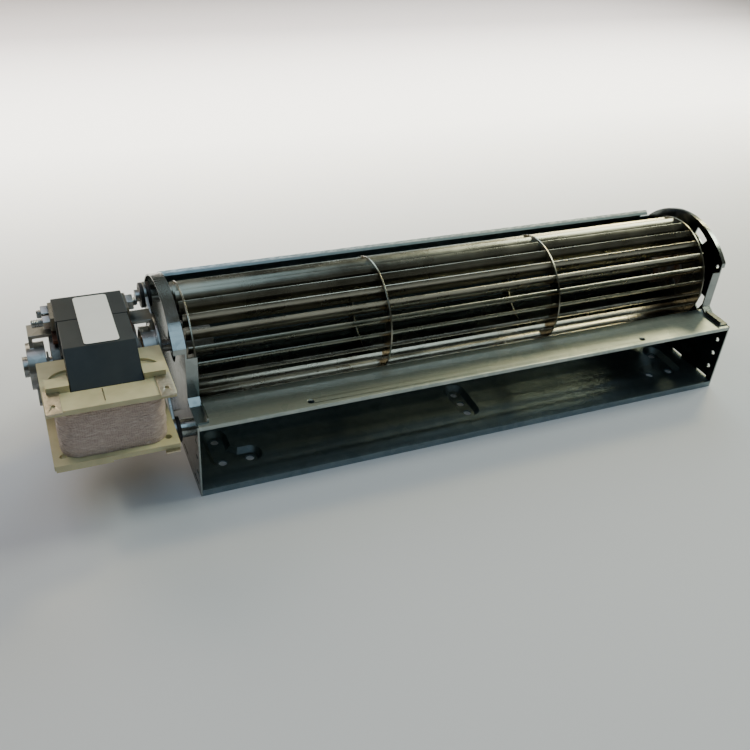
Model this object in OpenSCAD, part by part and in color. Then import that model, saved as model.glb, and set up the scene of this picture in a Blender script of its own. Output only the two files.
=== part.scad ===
// Tangential blower with its shaded-pole motor: a long drum wheel in a folded
// sheet housing, driven by a motor on the left end plate.
// Work frame of every module: X along the shaft from the wheel's left disc,
// Y to the back, Z up, zero on the shaft. place() moves it to the part's frame.

/* [Wheel] */
// Outside diameter of the drum wheel
wheel_d = 60; // [56:0.5:61]
// Length of the wheel over its two end discs
wheel_len = 289.5; // [200:0.5:400]
// Number of blades
blade_n = 24; // [18:1:30]
// Radial depth of a blade
blade_depth = 5.8; // [4:0.1:7]
// Sheet thickness of a blade
blade_t = 0.6; // [0.4:0.05:0.8]
// Angle of the first blade's tip above the front
blade_phase = 13.2; // [0:0.1:20]
// Angle by which a blade's tip leads its inner edge
blade_lead = 8; // [4:0.5:12]
// Radius to which a blade's sheet is curved
blade_camber_r = 8; // [6:0.5:14]
// Sheet thickness of discs and rings
disc_t = 0.8; // [0.6:0.1:1.2]
// Inside radius of the two middle rings
ring_ri = 22.5; // [20:0.5:23.5]

/* [Housing] */
// Sheet thickness of the housing
sheet_t = 0.8; // [0.6:0.1:1]
// Gap from the wheel's left disc to the left plate's outer face
gap_left = 5; // [4:0.5:8]
// Gap from the wheel's right disc to the right plate's outer face
gap_right = 7.5; // [6:0.5:10]
// Distance of the outlet's front plane from the shaft
outlet_y = 50.6; // [46:0.2:60]
// Height of the shaft above the base plane
axis_h = 53.6; // [52:0.2:58]
// Height of the floor sheet's top above the base plane
floor_h = 3.6; // [3:0.1:5]
// Depth of the shelf's top below the shaft
shelf_drop = 12.6; // [11:0.2:15]
// Distance of the shelf's rear edge from the shaft
shelf_rear = 29.4; // [29:0.1:31]
// Mean radius of the scroll behind the wheel
scroll_r = 43.2; // [42:0.2:46]
// Radius of the end plates' arch
arch_r = 45; // [44:0.5:47]
// Width of the left plate's outward flange
flange_w = 5; // [3:0.5:7]
// Width of the right plate's narrow rim
rim_w = 1.6; // [1.2:0.1:3]
// Distance between the two screw holes in the shelf
shelf_pitch = 190; // [120:1:220]
// Distance by which those holes sit left of the middle
shelf_shift = 1.5; // [0:0.5:6]
// Radius of the screw holes in the shelf
shelf_hole_r = 1.6; // [1.2:0.1:2]
// Radius of the screw holes in the end plates
side_hole_r = 1.2; // [1:0.1:1.6]
// Distance between those holes, one above the other
side_hole_pitch = 9.05; // [8:0.05:9.5]
// Radius of the screw holes in the pressed feet
foot_hole_r = 2.1; // [1.5:0.1:2.5]
// Distance between the two rows of foot holes, front to back
foot_pitch_y = 16.4; // [12:0.2:20]
// Half-width of a pressed foot at the floor
foot_top_r = 6.1; // [5.4:0.1:7]
// Half-width of a pressed foot at its flat bottom
foot_flat_r = 3.8; // [3.4:0.1:4.6]

/* [Motor] */
// Thickness of the lamination stack
stack_t = 30.8; // [20:0.2:32]
// Distance from the wheel's left disc to the stack
stack_gap = 24.8; // [24:0.2:30]
// Half of the stack's height
stack_hz = 27.5; // [26:0.5:30]
// Radius of the rotor
rotor_r = 14.9; // [14:0.1:15]
// Air gap between rotor and stator
air_gap = 0.4; // [0.3:0.05:0.6]
// Radius of the motor shaft
shaft_r = 3; // [2.5:0.5:3]
// Running clearance of shaft and bushes, on the radius
run_clear = 0.03; // [0.01:0.01:0.08]
// Height of the coil former over its flanges
former_h = 30; // [28:0.5:30]
// Length of the coil former along the shaft
former_x = 52.4; // [50:0.2:54]
// Thickness of the coil former's flanges
former_t = 2.4; // [1.6:0.1:3]
// Radius of the motor's long screws
screw_r = 2; // [1.5:0.1:2]

/* [Hidden] */

e = 0.02;
wheel_r = wheel_d / 2;
tip_r = wheel_r - 0.6;
rivet_ring_r = 10;
rivet_hole_r = 1.55;
inner_r = tip_r - blade_depth;

x_left = -gap_left;
x_right = wheel_len + gap_right;
x_in_left = x_left + sheet_t;
x_in_right = x_right - sheet_t;
base_z = -axis_h;
floor_z = base_z + floor_h;
shelf_z = -shelf_drop;
front_y = -32;
outlet_mid_z = (shelf_z + floor_z) / 2;

scroll_y = -1.1;
scroll_z = floor_z - sheet_t / 2 + scroll_r;
scroll_ri = scroll_r - sheet_t / 2;
scroll_ro = scroll_r + sheet_t / 2;
lip_angle = 44.7;
arch_y = 1.2;
arch_top = 32.4;
arch_z = arch_top - arch_r;
rim_over = 1;
hem_w = 2.8;

stack_x1 = -stack_gap;
stack_x0 = stack_x1 - stack_t;
stack_mid = (stack_x0 + stack_x1) / 2;
bore_r = rotor_r + air_gap;
leg_z = former_h / 2;
core_y0 = -46;
core_y1 = -31;
stack_front_y = -32.3;
coil_seam_y = -10;
screw_y = 8.5;
screw_z = 21.3;

former_x0 = stack_mid - former_x / 2;
former_x1 = stack_mid + former_x / 2;
former_y0 = -58.2;
former_y1 = -21.2;
tab_front = 1.9;

// bearing cups, and the yokes that carry them on two legs
cup_r = 10.8;
cup_wall = 1.4;
cup_len = 8;
cup_bottom = 1.2;
cup_gap = 5.8;
cup_x0 = stack_x0 - cup_gap - cup_len;
cup_x1 = stack_x1 + cup_gap;
bush_r = 6;
cap_len = 2.2;
yoke_t = 1.6;
yoke_w = 10;
yoke_reach = 10.4;
yoke_y = 4.4;
yoke_top = 16;

// the motor hangs on two rubbers of the left plate
mount_t = 1.5;
web_x = stack_x1 + yoke_reach + yoke_t;
rubber_t = 1.8;
rubber_r = 6.2;
rubber_neck_r = 4;
rubber_up = [scroll_y + scroll_r - 18.1, 15];
rubber_low = [-32, -26];

stub_out = 4;

// bounding box of the whole part, for its frame
box_x0 = cup_x0 - cap_len;
box_x1 = x_right + stub_out;
box_y0 = former_y0 - tab_front;
box_y1 = scroll_y + scroll_ro + rim_over;
frame_shift = [-(box_x0 + box_x1) / 2, -(box_y0 + box_y1) / 2, axis_h];

// the left foot is an L, the right one its mirror image, the middle one is straight
mid_x = (x_left + x_right) / 2;
foot_front_y = -31.3;
foot_rear_y = foot_front_y + foot_pitch_y;
foot_inset = 15.3;
foot_arm = 13.8;
foot_corner = 6.5;
foot_x = x_left + foot_inset;
foot_arm_x = foot_x + foot_arm;

module place() { translate(frame_shift) children(); }

// extrude a YZ outline along X
module along_x(x0, x1) {
  translate([x0, 0, 0]) rotate([90, 0, 90]) linear_extrude(x1 - x0) children();
}

// round bar or bore along X at a YZ point
module rod(x0, x1, r, p = [0, 0], n = 48) {
  translate([x0, p[0], p[1]]) rotate([0, 90, 0]) cylinder(r = r, h = x1 - x0, $fn = n);
}

module tube(x0, x1, ro, ri, p = [0, 0]) {
  difference() {
    rod(x0, x1, ro, p);
    rod(x0 - 1, x1 + 1, ri, p);
  }
}

// part of a ring between two angles
module arc_band(ri, ro, a0, a1) {
  intersection() {
    difference() {
      circle(ro, $fn = 96);
      circle(ri, $fn = 96);
    }
    polygon(concat([[0, 0]], [for (i = [0:8]) polar(2 * ro, a0 + (a1 - a0) * i / 8)]));
  }
}

// rectangle with round corners, made of true circles
module round_rect(x0, x1, y0, y1, r) {
  translate([x0 + r, y0]) square([x1 - x0 - 2 * r, y1 - y0]);
  translate([x0, y0 + r]) square([x1 - x0, y1 - y0 - 2 * r]);
  for (x = [x0 + r, x1 - r], y = [y0 + r, y1 - r]) translate([x, y]) circle(r, $fn = 48);
}

function polar(r, a) = [r * cos(a), r * sin(a)];

// one blade's cross-section: a sheet arc that bulges away from the way it turns
function blade_outline(t, over) =
  let (tip = polar(tip_r + over, 180 - blade_phase),
       root = polar(inner_r - over, 180 - blade_phase + blade_lead),
       chord = tip - root,
       len = norm(chord),
       side = [-chord[1], chord[0]] / len,
       sag = len * len / 8 / blade_camber_r,
       steps = 6,
       mids = [for (i = [0:steps]) let (u = i / steps) root + chord * u + side * sag * 4 * u * (1 - u)])
  concat([for (i = [0:steps]) mids[i] + side * t / 2], [for (i = [steps:-1:0]) mids[i] - side * t / 2]);

module blade_row(x0, x1, t = blade_t, over = 0) {
  for (i = [0:blade_n - 1])
    rotate([-i * 360 / blade_n, 0, 0]) along_x(x0, x1) polygon(blade_outline(t, over));
}

// Housing

// straight dish with sloping walls between two points, r0 wide below and r1 above
module dish(p, q, z0, z1, r0, r1) {
  d = q - p;
  for (c = [p, q]) translate([c[0], c[1], z0]) cylinder(r1 = r0, r2 = r1, h = z1 - z0, $fn = 48);
  translate([p[0], p[1], 0]) rotate([0, 0, atan2(d[1], d[0])]) along_x(0, norm(d))
    polygon([[-r0, z0], [r0, z0], [r1, z1], [-r1, z1]]);
}

module feet(z0, z1, r0, r1) {
  for (m = [0, 1]) translate([m * 2 * mid_x, 0, 0]) mirror([m, 0, 0])
    for (q = [[foot_x, foot_rear_y], [foot_arm_x, foot_front_y]])
      dish([foot_x, foot_front_y], q, z0, z1, r0, r1);
  // the inside corner of each L is eased
  for (m = [0, 1]) translate([m * 2 * mid_x, 0, 0]) mirror([m, 0, 0])
    dish([foot_x, foot_front_y + foot_corner], [foot_x + foot_corner, foot_front_y], z0, z1, r0, r1);
  dish([mid_x, foot_front_y], [mid_x, foot_rear_y], z0, z1, r0, r1);
}

foot_holes = concat(
  [for (y = [foot_front_y, foot_rear_y], x = [foot_x, mid_x, 2 * mid_x - foot_x]) [x, y]],
  [for (x = [foot_arm_x, 2 * mid_x - foot_arm_x]) [x, foot_front_y]],
  [[mid_x, (foot_front_y + foot_rear_y) / 2]]);

module scroll_profile() {
  // floor and its front lip
  translate([-outlet_y, floor_z - sheet_t]) square([outlet_y + scroll_y, sheet_t]);
  translate([-outlet_y, base_z]) square([sheet_t, floor_h]);
  // round wall behind the wheel, up to the top lip
  translate([scroll_y, scroll_z]) arc_band(scroll_ri, scroll_ro, -90, lip_angle);
  // hem turned in along the top lip
  translate([scroll_y, scroll_z]) rotate(lip_angle)
    translate([scroll_ro - hem_w, -sheet_t]) square([hem_w - sheet_t / 2, sheet_t]);
}

lip_notch = 7.7;
lip_notch_z = 17;

module scroll_shell() {
  wall_run = (foot_top_r - foot_flat_r) / (floor_h - sheet_t);
  color("slategray") place() difference() {
    union() {
      along_x(x_in_left, x_in_right) scroll_profile();
      // pressed feet down to the base plane
      feet(base_z, floor_z - sheet_t / 2, foot_flat_r + sheet_t / 2, foot_top_r + sheet_t);
    }
    feet(base_z + sheet_t, floor_z + 1, foot_flat_r, foot_top_r + wall_run);
    for (p = foot_holes)
      translate([p[0], p[1], base_z - 1]) cylinder(r = foot_hole_r, h = 4, $fn = 32);
    // the top lip stops short of the right plate
    translate([x_in_right - lip_notch, scroll_y + scroll_r / 2, lip_notch_z])
      cube([lip_notch + 1, scroll_r, scroll_r]);
  }
}

module shelf() {
  tongue = 6.5;
  tongue_angle = 68;
  shelf_lip = 2.2;
  hole_inset = 4;
  color("lightslategray") place() difference() {
    union() {
      along_x(x_in_left, x_in_right) {
        translate([-outlet_y, shelf_z - sheet_t]) square([outlet_y - shelf_rear, sheet_t]);
        translate([-outlet_y, shelf_z - shelf_lip]) square([sheet_t, shelf_lip]);
        // tongue folded down in front of the wheel
        translate([-shelf_rear, shelf_z]) rotate(-tongue_angle) translate([0, -sheet_t]) square([tongue, sheet_t]);
      }
    }
    for (s = [-1, 1])
      translate([mid_x - shelf_shift + s * shelf_pitch / 2, -outlet_y + hole_inset, shelf_z - 4])
        cylinder(r = shelf_hole_r, h = 8, $fn = 32);
  }
}

// straight foot of an end plate: how far it runs behind the shaft, and its height
plate_foot_y = 12;
plate_foot_h = 30;

// an end plate's outline, drawn in by i
module plate_2d(i = 0) {
  intersection() {
    translate([arch_y, arch_z]) circle(arch_r - i, $fn = 128);
    translate([scroll_y, scroll_z]) circle(scroll_ro + rim_over - i, $fn = 128);
    translate([front_y + i, base_z + i]) square(4 * scroll_r);
  }
  translate([-outlet_y + i, base_z + i]) square([outlet_y + plate_foot_y - 2 * i, plate_foot_h - i]);
  translate([-outlet_y + i, base_z + i]) square([outlet_y - i, axis_h + shelf_z - i + e]);
}

// plate, flange and folds for a plate whose outer face looks to -X; x = 0 is that face
module end_plate(flange) {
  // the flange stays behind flange_y below flange_z, and above flange_front_z in front
  flange_y = plate_foot_y + 0.5;
  flange_z = -12;
  flange_front_z = 15;
  slot_h = 1.2;
  slot_len = 8.4;
  slot_rise = 0.2;
  slot_inset = [4.2, 26.6];
  fold_w = 5.5;
  fold_z = -9.3;
  fold_h = 21.5;
  fold_slant = 5;
  fold_angle = 57;
  tab_len = 12.6;
  tab_wide = 5.8;
  tab_inset = 2.2;
  tab_edge = 2.6;
  difference() {
    union() {
      along_x(0, sheet_t) plate_2d();
      // flange turned outward around the arch and the scroll
      difference() {
        along_x(-flange, sheet_t) plate_2d();
        along_x(-flange - 1, sheet_t + 1) plate_2d(sheet_t);
        translate([-flange - 1, -outlet_y - 1, base_z - 1])
          cube([flange + 1, outlet_y + 1 + flange_y, flange_z - base_z + 1]);
        translate([-flange - 1, -outlet_y - 1, flange_z - 1])
          cube([flange + 1, outlet_y + 1 + front_y + 2 * sheet_t, flange_front_z - flange_z + 1]);
      }
      // folds turned inward: down the front, on a slant and flat on the shelf
      translate([0, front_y, fold_z]) cube([fold_w, sheet_t, fold_h]);
      translate([0, front_y, fold_z]) rotate([-fold_angle, 0, 0]) translate([0, 0, -fold_slant])
        cube([fold_w, sheet_t, fold_slant + sheet_t / 2]);
      // tab on the shelf, with its free edge turned up
      translate([0, -outlet_y + tab_inset, shelf_z]) cube([tab_wide, tab_len, sheet_t]);
      translate([tab_wide - sheet_t, -outlet_y + tab_inset, shelf_z]) cube([sheet_t, tab_len, tab_edge]);
    }
    // light slots along the floor, three screw holes near the outlet
    for (y = slot_inset) translate([-1, -outlet_y + y, floor_z + slot_rise])
      cube([sheet_t + 2, slot_len, slot_h]);
    for (k = [-1:1]) rod(-1, sheet_t + 1, side_hole_r,
      [-outlet_y + side_hole_inset, outlet_mid_z - side_hole_low + side_hole_pitch * k], 32);
  }
}

side_hole_inset = 4.8;
side_hole_low = 1.55;
collar_r = 4.4;
plate_hole_r = 8.5;
end_rubber_ri = 11;
air_slot_r = [24.6, 29];
air_slot_a = [103, 123];
pin_hole_r = 1;
pin_hole_z = 14.6;
pin_hole_inset = 2.8;

module side_plate_left() {
  color("slategray") place() difference() {
    union() {
      translate([x_left, 0, 0]) end_plate(flange_w);
      // drawn collars that take the motor's fixing screws
      for (p = [rubber_up, rubber_low]) rod(web_x + mount_t + rubber_t, x_left + e, collar_r, p);
    }
    rod(x_left - 5, x_left + 5, plate_hole_r);
    for (p = [rubber_up, rubber_low]) rod(x_left - 8, x_left + 5, mount_screw_r + 0.05, p, 32);
  }
}

module side_plate_right() {
  color("slategray") place() difference() {
    translate([x_right, 0, 0]) mirror([1, 0, 0]) end_plate(rim_w);
    rod(x_right - 5, x_right + 5, end_rubber_ri);
    // four air slots around the bearing
    along_x(x_right - 2, x_right + 1) for (k = [0:3])
      arc_band(air_slot_r[0], air_slot_r[1], air_slot_a[0] + k * 90, air_slot_a[1] + k * 90);
    rod(x_right - 2, x_right + 2, pin_hole_r, [front_y + pin_hole_inset, pin_hole_z], 24);
  }
}

// Wheel

module wheel_blades() {
  color("dimgray") place() blade_row(-2, wheel_len + 1);
}

disc_hole_r = 6.5;
function rivet_at(k) = polar(rivet_ring_r, 90 + k * 120);

module slotted_disc(x0, ri) {
  difference() {
    tube(x0, x0 + disc_t, wheel_r, ri);
    blade_row(x0 - 1, x0 + disc_t + 1, blade_t + 0.08, 0.06);
  }
}

module end_disc(x0) {
  difference() {
    slotted_disc(x0, disc_hole_r);
    for (k = [0:2]) rod(x0 - 1, x0 + disc_t + 1, rivet_hole_r, rivet_at(k), 24);
  }
}

module wheel_disc_left() { color("gray") place() end_disc(0); }
module wheel_disc_right() { color("gray") place() end_disc(wheel_len - disc_t); }
module wheel_ring_left() { color("gray") place() slotted_disc(wheel_len / 3, ring_ri); }
module wheel_ring_right() { color("gray") place() slotted_disc(wheel_len * 2 / 3, ring_ri); }

hub_len = 13;
hub_r = 7.5;
hub_flange_t = 1.6;
hub_flange_r = 12.6;
hub_screw_x = 8;

// hub behind a disc whose inner face is at x = 0, reaching to +X
module hub() {
  difference() {
    union() {
      rod(0, hub_flange_t, hub_flange_r);
      rod(0, hub_len, hub_r);
      rod(-disc_t, e, disc_hole_r - 0.05);
    }
    rod(-2, hub_len + 1, shaft_r);
    for (k = [0:2]) rod(-1, hub_flange_t + 1, rivet_hole_r, rivet_at(k), 24);
    translate([hub_screw_x, 0, 0]) rotate([-90, 0, 0]) cylinder(r = set_screw_r + 0.05, h = 10, $fn = 32);
  }
}

module wheel_hub_left() { color("silver") place() translate([disc_t, 0, 0]) hub(); }
module wheel_hub_right() {
  color("silver") place() translate([wheel_len - disc_t, 0, 0]) mirror([1, 0, 0]) hub();
}

module hub_rivets() {
  head_r = 2.4;
  head = 0.8;
  tail = disc_t + hub_flange_t;
  color("silver") place()
    for (s = [0, 1], k = [0:2]) translate([s * wheel_len, 0, 0]) mirror([s, 0, 0]) {
      rod(-head, 0, head_r, rivet_at(k), 24);
      rod(0, tail, rivet_hole_r - 0.05, rivet_at(k), 24);
      rod(tail, tail + head, head_r, rivet_at(k), 24);
    }
}

set_screw_r = 1.9;

module hub_set_screw() {
  set_screw_h = 4.2;
  socket_z = 2.4;
  color("darkslategray") place() for (x = [disc_t + hub_screw_x, wheel_len - disc_t - hub_screw_x])
    translate([x, 0, 0]) rotate([-90, 0, 0]) difference() {
      translate([0, 0, shaft_r]) cylinder(r = set_screw_r, h = set_screw_h, $fn = 32);
      translate([0, 0, shaft_r + socket_z]) cylinder(r = 1.1, h = set_screw_h, $fn = 6);
    }
}

module stub_shaft() {
  color("silver") place() rod(wheel_len - disc_t - hub_len - 0.2, x_right + stub_out, shaft_r);
}

end_bush_half = 3.6;

module end_bearing_bush() {
  color("peru") place() tube(x_right - end_bush_half, x_right + end_bush_half, bush_r, shaft_r + run_clear);
}

module end_bearing_rubber() {
  groove = 0.04;
  inside = 3;
  outside = 2.6;
  rim = 2.2;
  color("black") place() difference() {
    rod(x_right - inside, x_right + outside, end_rubber_ri + rim);
    rod(x_right - 4, x_right + 4, bush_r);
    tube(x_right - sheet_t - groove, x_right + groove, end_rubber_ri + rim + 1, end_rubber_ri);
  }
}

// Motor, turning

module motor_shaft() {
  color("silver") place() rod(cup_x0 - 0.6, disc_t + hub_len, shaft_r);
}

bar_n = 15;
bar_ring_r = 12.6;
bar_r = 1.2;
cage_end = 3.4;
cage_ro = 14.4;
cage_ri = 8;

module cage_bars(x0, x1) {
  for (k = [0:bar_n - 1]) rod(x0, x1, bar_r, polar(bar_ring_r, k * 360 / bar_n), 16);
}

module rotor_core() {
  color("dimgray") place() difference() {
    rod(stack_x0, stack_x1, rotor_r, n = 96);
    rod(stack_x0 - 1, stack_x1 + 1, shaft_r);
    cage_bars(stack_x0 - 1, stack_x1 + 1);
  }
}

module rotor_cage() {
  color("silver") place() {
    for (x = [stack_x0 - cage_end, stack_x1]) tube(x, x + cage_end, cage_ro, cage_ri);
    cage_bars(stack_x0 - e, stack_x1 + e);
  }
}

washer_r = 5.6;
washer_t = 0.8;
washer_gap = 0.4;

module thrust_washer_left() {
  x1 = stack_x0 - cup_gap + washer_gap + washer_t;
  color("wheat") place() tube(x1 - washer_t, x1, washer_r, shaft_r);
}
module thrust_washer_right() {
  x0 = stack_x1 + cup_gap - washer_gap - washer_t;
  color("wheat") place() tube(x0, x0 + washer_t, washer_r, shaft_r);
}

// Motor, standing

// where the shading rings pass through the upper pole; the lower pole is its half-turn
ring_at = [[-7.6, 16.1], [-2.9, 17.2]];
ring_t = 2;

module stack_holes(x0, x1) {
  rod(x0, x1, bore_r, n = 96);
  for (s = [-1, 1]) {
    rod(x0, x1, screw_r + 0.1, s * [screw_y, screw_z], 32);
    for (p = ring_at) translate([x0, s * p[0] - ring_t / 2 - 0.1, s * p[1] - ring_t / 2 - 0.1])
      cube([x1 - x0, ring_t + 0.2, ring_t + 0.2]);
  }
  // saturation notch in the rear bridge
  translate([x0, bore_r + 2.1, -notch / 2]) cube([x1 - x0, 20, notch]);
}

notch = 3;
// corners of the pole stack: end of its top, rear face, bay for the coil
pole_top_y = 9.7;
pole_rear = [25, 14];
bay_y = -18.4;

module stator_pole_stack() {
  color("#3a4650") place() difference() {
    along_x(stack_x0, stack_x1) polygon([
      [coil_seam_y, stack_hz], [pole_top_y, stack_hz], pole_rear, [pole_rear[0], -pole_rear[1]],
      [pole_top_y, -stack_hz], [stack_front_y, -stack_hz], [core_y0, -leg_z],
      [bay_y, -leg_z], [bay_y, leg_z], [coil_seam_y, leg_z]]);
    stack_holes(stack_x0 - 1, stack_x1 + 1);
  }
}

// the coil's packet lies a little lower than the poles' packet
seam_step = 0.2;

module stator_coil_stack() {
  color("#2c3a46") place() along_x(core_x0, core_x1) polygon([
    [coil_seam_y, stack_hz - seam_step], [coil_seam_y, leg_z], [core_y1, leg_z], [core_y1, -leg_z],
    [core_y0, -leg_z], [core_y0, leg_z], [stack_front_y, stack_hz - seam_step]]);
}

module shading_ring() {
  h = ring_t / 2;
  p = ring_at[0];
  q = ring_at[1];
  for (c = ring_at) translate([stack_x0 - ring_t, c[0] - h, c[1] - h])
    cube([stack_t + 2 * ring_t, ring_t, ring_t]);
  for (x = [stack_x0 - ring_t, stack_x1]) along_x(x, x + ring_t)
    polygon([p + [-h, -h], p + [h, -h], q + [h, -h], q + [h, h], q + [-h, h], p + [-h, h]]);
}

module shading_ring_top() { color("sienna") place() shading_ring(); }
module shading_ring_bottom() { color("sienna") place() mirror([0, 1, 0]) mirror([0, 0, 1]) shading_ring(); }

tab_w = 6.3;
tab_t = 0.8;
tab_slack = 0.3;
tab_inset = 3.6;
tab_x = [former_x0 + tab_inset, former_x1 - tab_inset];
tab_root = -44;
tab_hole_y = -55;
tab_hole_r = 0.95;

// square tube of the former around the core
core_x0 = stack_x0 + 0.7;
core_x1 = stack_x1 - 0.4;
core_slack = [0.3, 0.2];
former_wall = 1.2;
tube_x0 = core_x0 - core_slack[0] - former_wall;
tube_x1 = core_x1 + core_slack[0] + former_wall;
tube_y0 = core_y0 - core_slack[1] - former_wall;
tube_y1 = core_y1 + core_slack[1] + former_wall;

// children for one side of the stack, mirrored for the other
module former_end(s) {
  translate([stack_mid, 0, 0]) mirror([s, 0, 0]) translate([-stack_mid, 0, 0]) children();
}

module coil_former() {
  block_inset = 1.9;
  block_y = -45.6;
  block_w = 6.6;
  block_h = 3.2;
  sill_h = 1;
  sill_w = 4;
  recess_r = 8.5;
  recess_y = -38;
  recess_h = 1.2;
  bolt_r = 1.5;
  bolt_inset = [4.2, 5.8];
  split_x = -42.9;
  color("#b9b48c") place() difference() {
    union() {
      for (z = [-leg_z, leg_z - former_t]) translate([0, 0, z]) linear_extrude(former_t)
        round_rect(former_x0, former_x1, former_y0, former_y1, 0.6);
      translate([tube_x0, tube_y0, -leg_z]) cube([tube_x1 - tube_x0, tube_y1 - tube_y0, former_h]);
      // blocks that hold the terminals
      for (s = [0, 1]) former_end(s) translate([former_x0 + block_inset, block_y, leg_z - e])
        cube([core_x0 - core_slack[0] - former_x0 - block_inset, block_w, block_h]);
      // thicker left half of the lower flange's front edge
      translate([former_x0 + 0.6, former_y0, -leg_z - sill_h]) cube([former_x / 2 - 3, sill_w, sill_h + e]);
    }
    translate([core_x0 - core_slack[0], core_y0 - core_slack[1], -leg_z - 2])
      cube([core_x1 - core_x0 + 2 * core_slack[0], core_y1 - core_y0 + 2 * core_slack[1], former_h + 4]);
    for (x = tab_x) translate([x - tab_w / 2 - tab_slack, tab_root - 3, leg_z])
      cube([tab_w + 2 * tab_slack, 3, tab_t]);
    for (s = [0, 1]) former_end(s) {
      // quarter-round recess beside the stack
      intersection() {
        translate([core_x0 - core_slack[0], recess_y, leg_z - recess_h]) cylinder(r = recess_r, h = 3, $fn = 48);
        translate([core_x0 - 10, recess_y, leg_z - 2]) cube([10, 12, 5]);
      }
      // screw hole in the lower flange
      translate([former_x0 + bolt_inset[0], former_y0 + bolt_inset[1], -leg_z - 2])
        cylinder(r = bolt_r, h = 6, $fn = 32);
    }
    // split line in the front strip
    translate([split_x, former_y0 + 2.4, leg_z - 1.5]) cube([0.5, 9, 3]);
  }
}

coil_side = 7.2;
coil_front_inset = 2.7;
coil_corner_r = 8.6;
coil_z = leg_z - former_t - 0.05;
tape_t = 0.8;

// outline of the coil, drawn in by i
module coil_2d(i) {
  round_rect(stack_x0 - coil_side + i, stack_x1 + coil_side - i,
    former_y0 + coil_front_inset + i, former_y1 - 0.2 - i, coil_corner_r - i);
}

module coil_winding() {
  color("peru") place() translate([0, 0, -coil_z]) linear_extrude(2 * coil_z) difference() {
    coil_2d(tape_t);
    translate([tube_x0 - 0.05, tube_y0 - 0.05]) square([tube_x1 - tube_x0 + 0.1, tube_y1 - tube_y0 + 0.1]);
  }
}

module coil_tape() {
  color("#8d756a") place() translate([0, 0, -coil_z]) linear_extrude(2 * coil_z) difference() {
    coil_2d(0);
    coil_2d(tape_t);
  }
}

module terminal(x, z) {
  color("tan") place() translate([0, 0, z]) difference() {
    translate([x - tab_w / 2, former_y0 - tab_front, 0]) cube([tab_w, tab_root - former_y0 + tab_front, tab_t]);
    translate([x, tab_hole_y, -1]) cylinder(r = tab_hole_r, h = 3, $fn = 24);
  }
}

module terminal_left() { terminal(tab_x[0], leg_z); }
module terminal_right() { terminal(tab_x[1], leg_z); }
module terminal_lower() { terminal(tab_x[1], -leg_z - tab_t); }

// corners of a yoke's upper foot on the stack, around its screw
foot_pad = 4.2;
foot_y0 = -3.8;
foot_z = 18.8;
foot_end = 2;
yoke_z = yoke_top - yoke_t;
yoke_y0 = yoke_y - yoke_w / 2;
yoke_y1 = yoke_y + yoke_w / 2;
yoke_rivet = [3.9, 12.9];

// yoke that carries a bearing; x = 0 is the stack's face, the cup is on +X
module bearing_bracket(rivets) {
  difference() {
    union() {
      rod(cup_gap, cup_gap + cup_len, cup_r);
      // web between the two legs, which lie a half-turn from each other
      along_x(yoke_reach, yoke_reach + yoke_t) polygon([
        [yoke_y0, yoke_top], [yoke_y1, yoke_top], [-yoke_y0, -yoke_top], [-yoke_y1, -yoke_top]]);
      for (s = [0, 1]) mirror([0, s, 0]) mirror([0, 0, s]) {
        translate([0, yoke_y0, yoke_z]) cube([yoke_reach + yoke_t, yoke_w, yoke_t]);
        along_x(0, yoke_t) polygon([
          [yoke_y0, yoke_z], [yoke_y1, yoke_z],
          [screw_y + foot_pad, screw_z - foot_end], [screw_y + foot_pad, screw_z + foot_end],
          [screw_y + foot_end, screw_z + foot_pad], [foot_y0, screw_z + foot_pad],
          [foot_y0, foot_z], [yoke_y0, foot_z]]);
      }
    }
    rod(cup_gap - 1, cup_gap + cup_len - cup_bottom, cup_r - cup_wall);
    rod(cup_gap, cup_gap + cup_len + 1, bush_r);
    for (s = [-1, 1]) {
      rod(-1, 3, screw_r + 0.1, s * [screw_y, screw_z], 32);
      if (rivets) rod(yoke_reach - 1, yoke_reach + 3, mount_rivet_r + 0.05, s * yoke_rivet, 24);
    }
  }
}

module bearing_bracket_left() {
  color("slategray") place() difference() {
    translate([stack_x0, 0, 0]) mirror([1, 0, 0]) bearing_bracket(false);
    rod(stack_x0 - 3, stack_x0 + 1, earth_r + 0.1, earth_at, 32);
  }
}
module bearing_bracket_right() { color("slategray") place() translate([stack_x1, 0, 0]) bearing_bracket(true); }

module bush(x0) { tube(x0, x0 + cup_len, bush_r, shaft_r + run_clear); }
module bearing_bush_left() { color("peru") place() bush(cup_x0); }
module bearing_bush_right() { color("peru") place() bush(cup_x1); }

felt_gap = 0.6;

module felt(x0) { tube(x0, x0 + cup_len - cup_bottom - felt_gap, cup_r - cup_wall, bush_r); }
module oil_felt_left() { color("beige") place() felt(cup_x0 + cup_bottom); }
module oil_felt_right() { color("beige") place() felt(cup_x1 + felt_gap); }

module bearing_cap() {
  cap_r = 4.8;
  cap_wall = 0.8;
  color("gray") place() difference() {
    rod(cup_x0 - cap_len, cup_x0, cap_r);
    rod(cup_x0 - cap_len + cap_wall, cup_x0 + 1, cap_r - cap_wall);
  }
}

nut_t = 3.2;
nut_r = 4.04;
screw_out = 2;

// two long screws through the stack and both yokes, a nut on each end
module stack_screws() {
  reach = yoke_t + nut_t + screw_out;
  color("silver") place() for (s = [-1, 1])
    rod(stack_x0 - reach, stack_x1 + reach, screw_r, s * [screw_y, screw_z], 32);
}

module nut(x0, r, bore, p) {
  difference() {
    rod(x0, x0 + nut_t, r, p, 6);
    rod(x0 - 1, x0 + nut_t + 1, bore + 0.02, p, 32);
  }
}

module stack_nuts() {
  color("silver") place() for (s = [-1, 1], x = [stack_x0 - yoke_t - nut_t, stack_x1 + yoke_t])
    nut(x, nut_r, screw_r, s * [screw_y, screw_z]);
}

// earthing screw in the left yoke's upper foot
earth_r = 1.9;
earth_at = [0.6, 21.4];
earth_out = 9.8;

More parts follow.
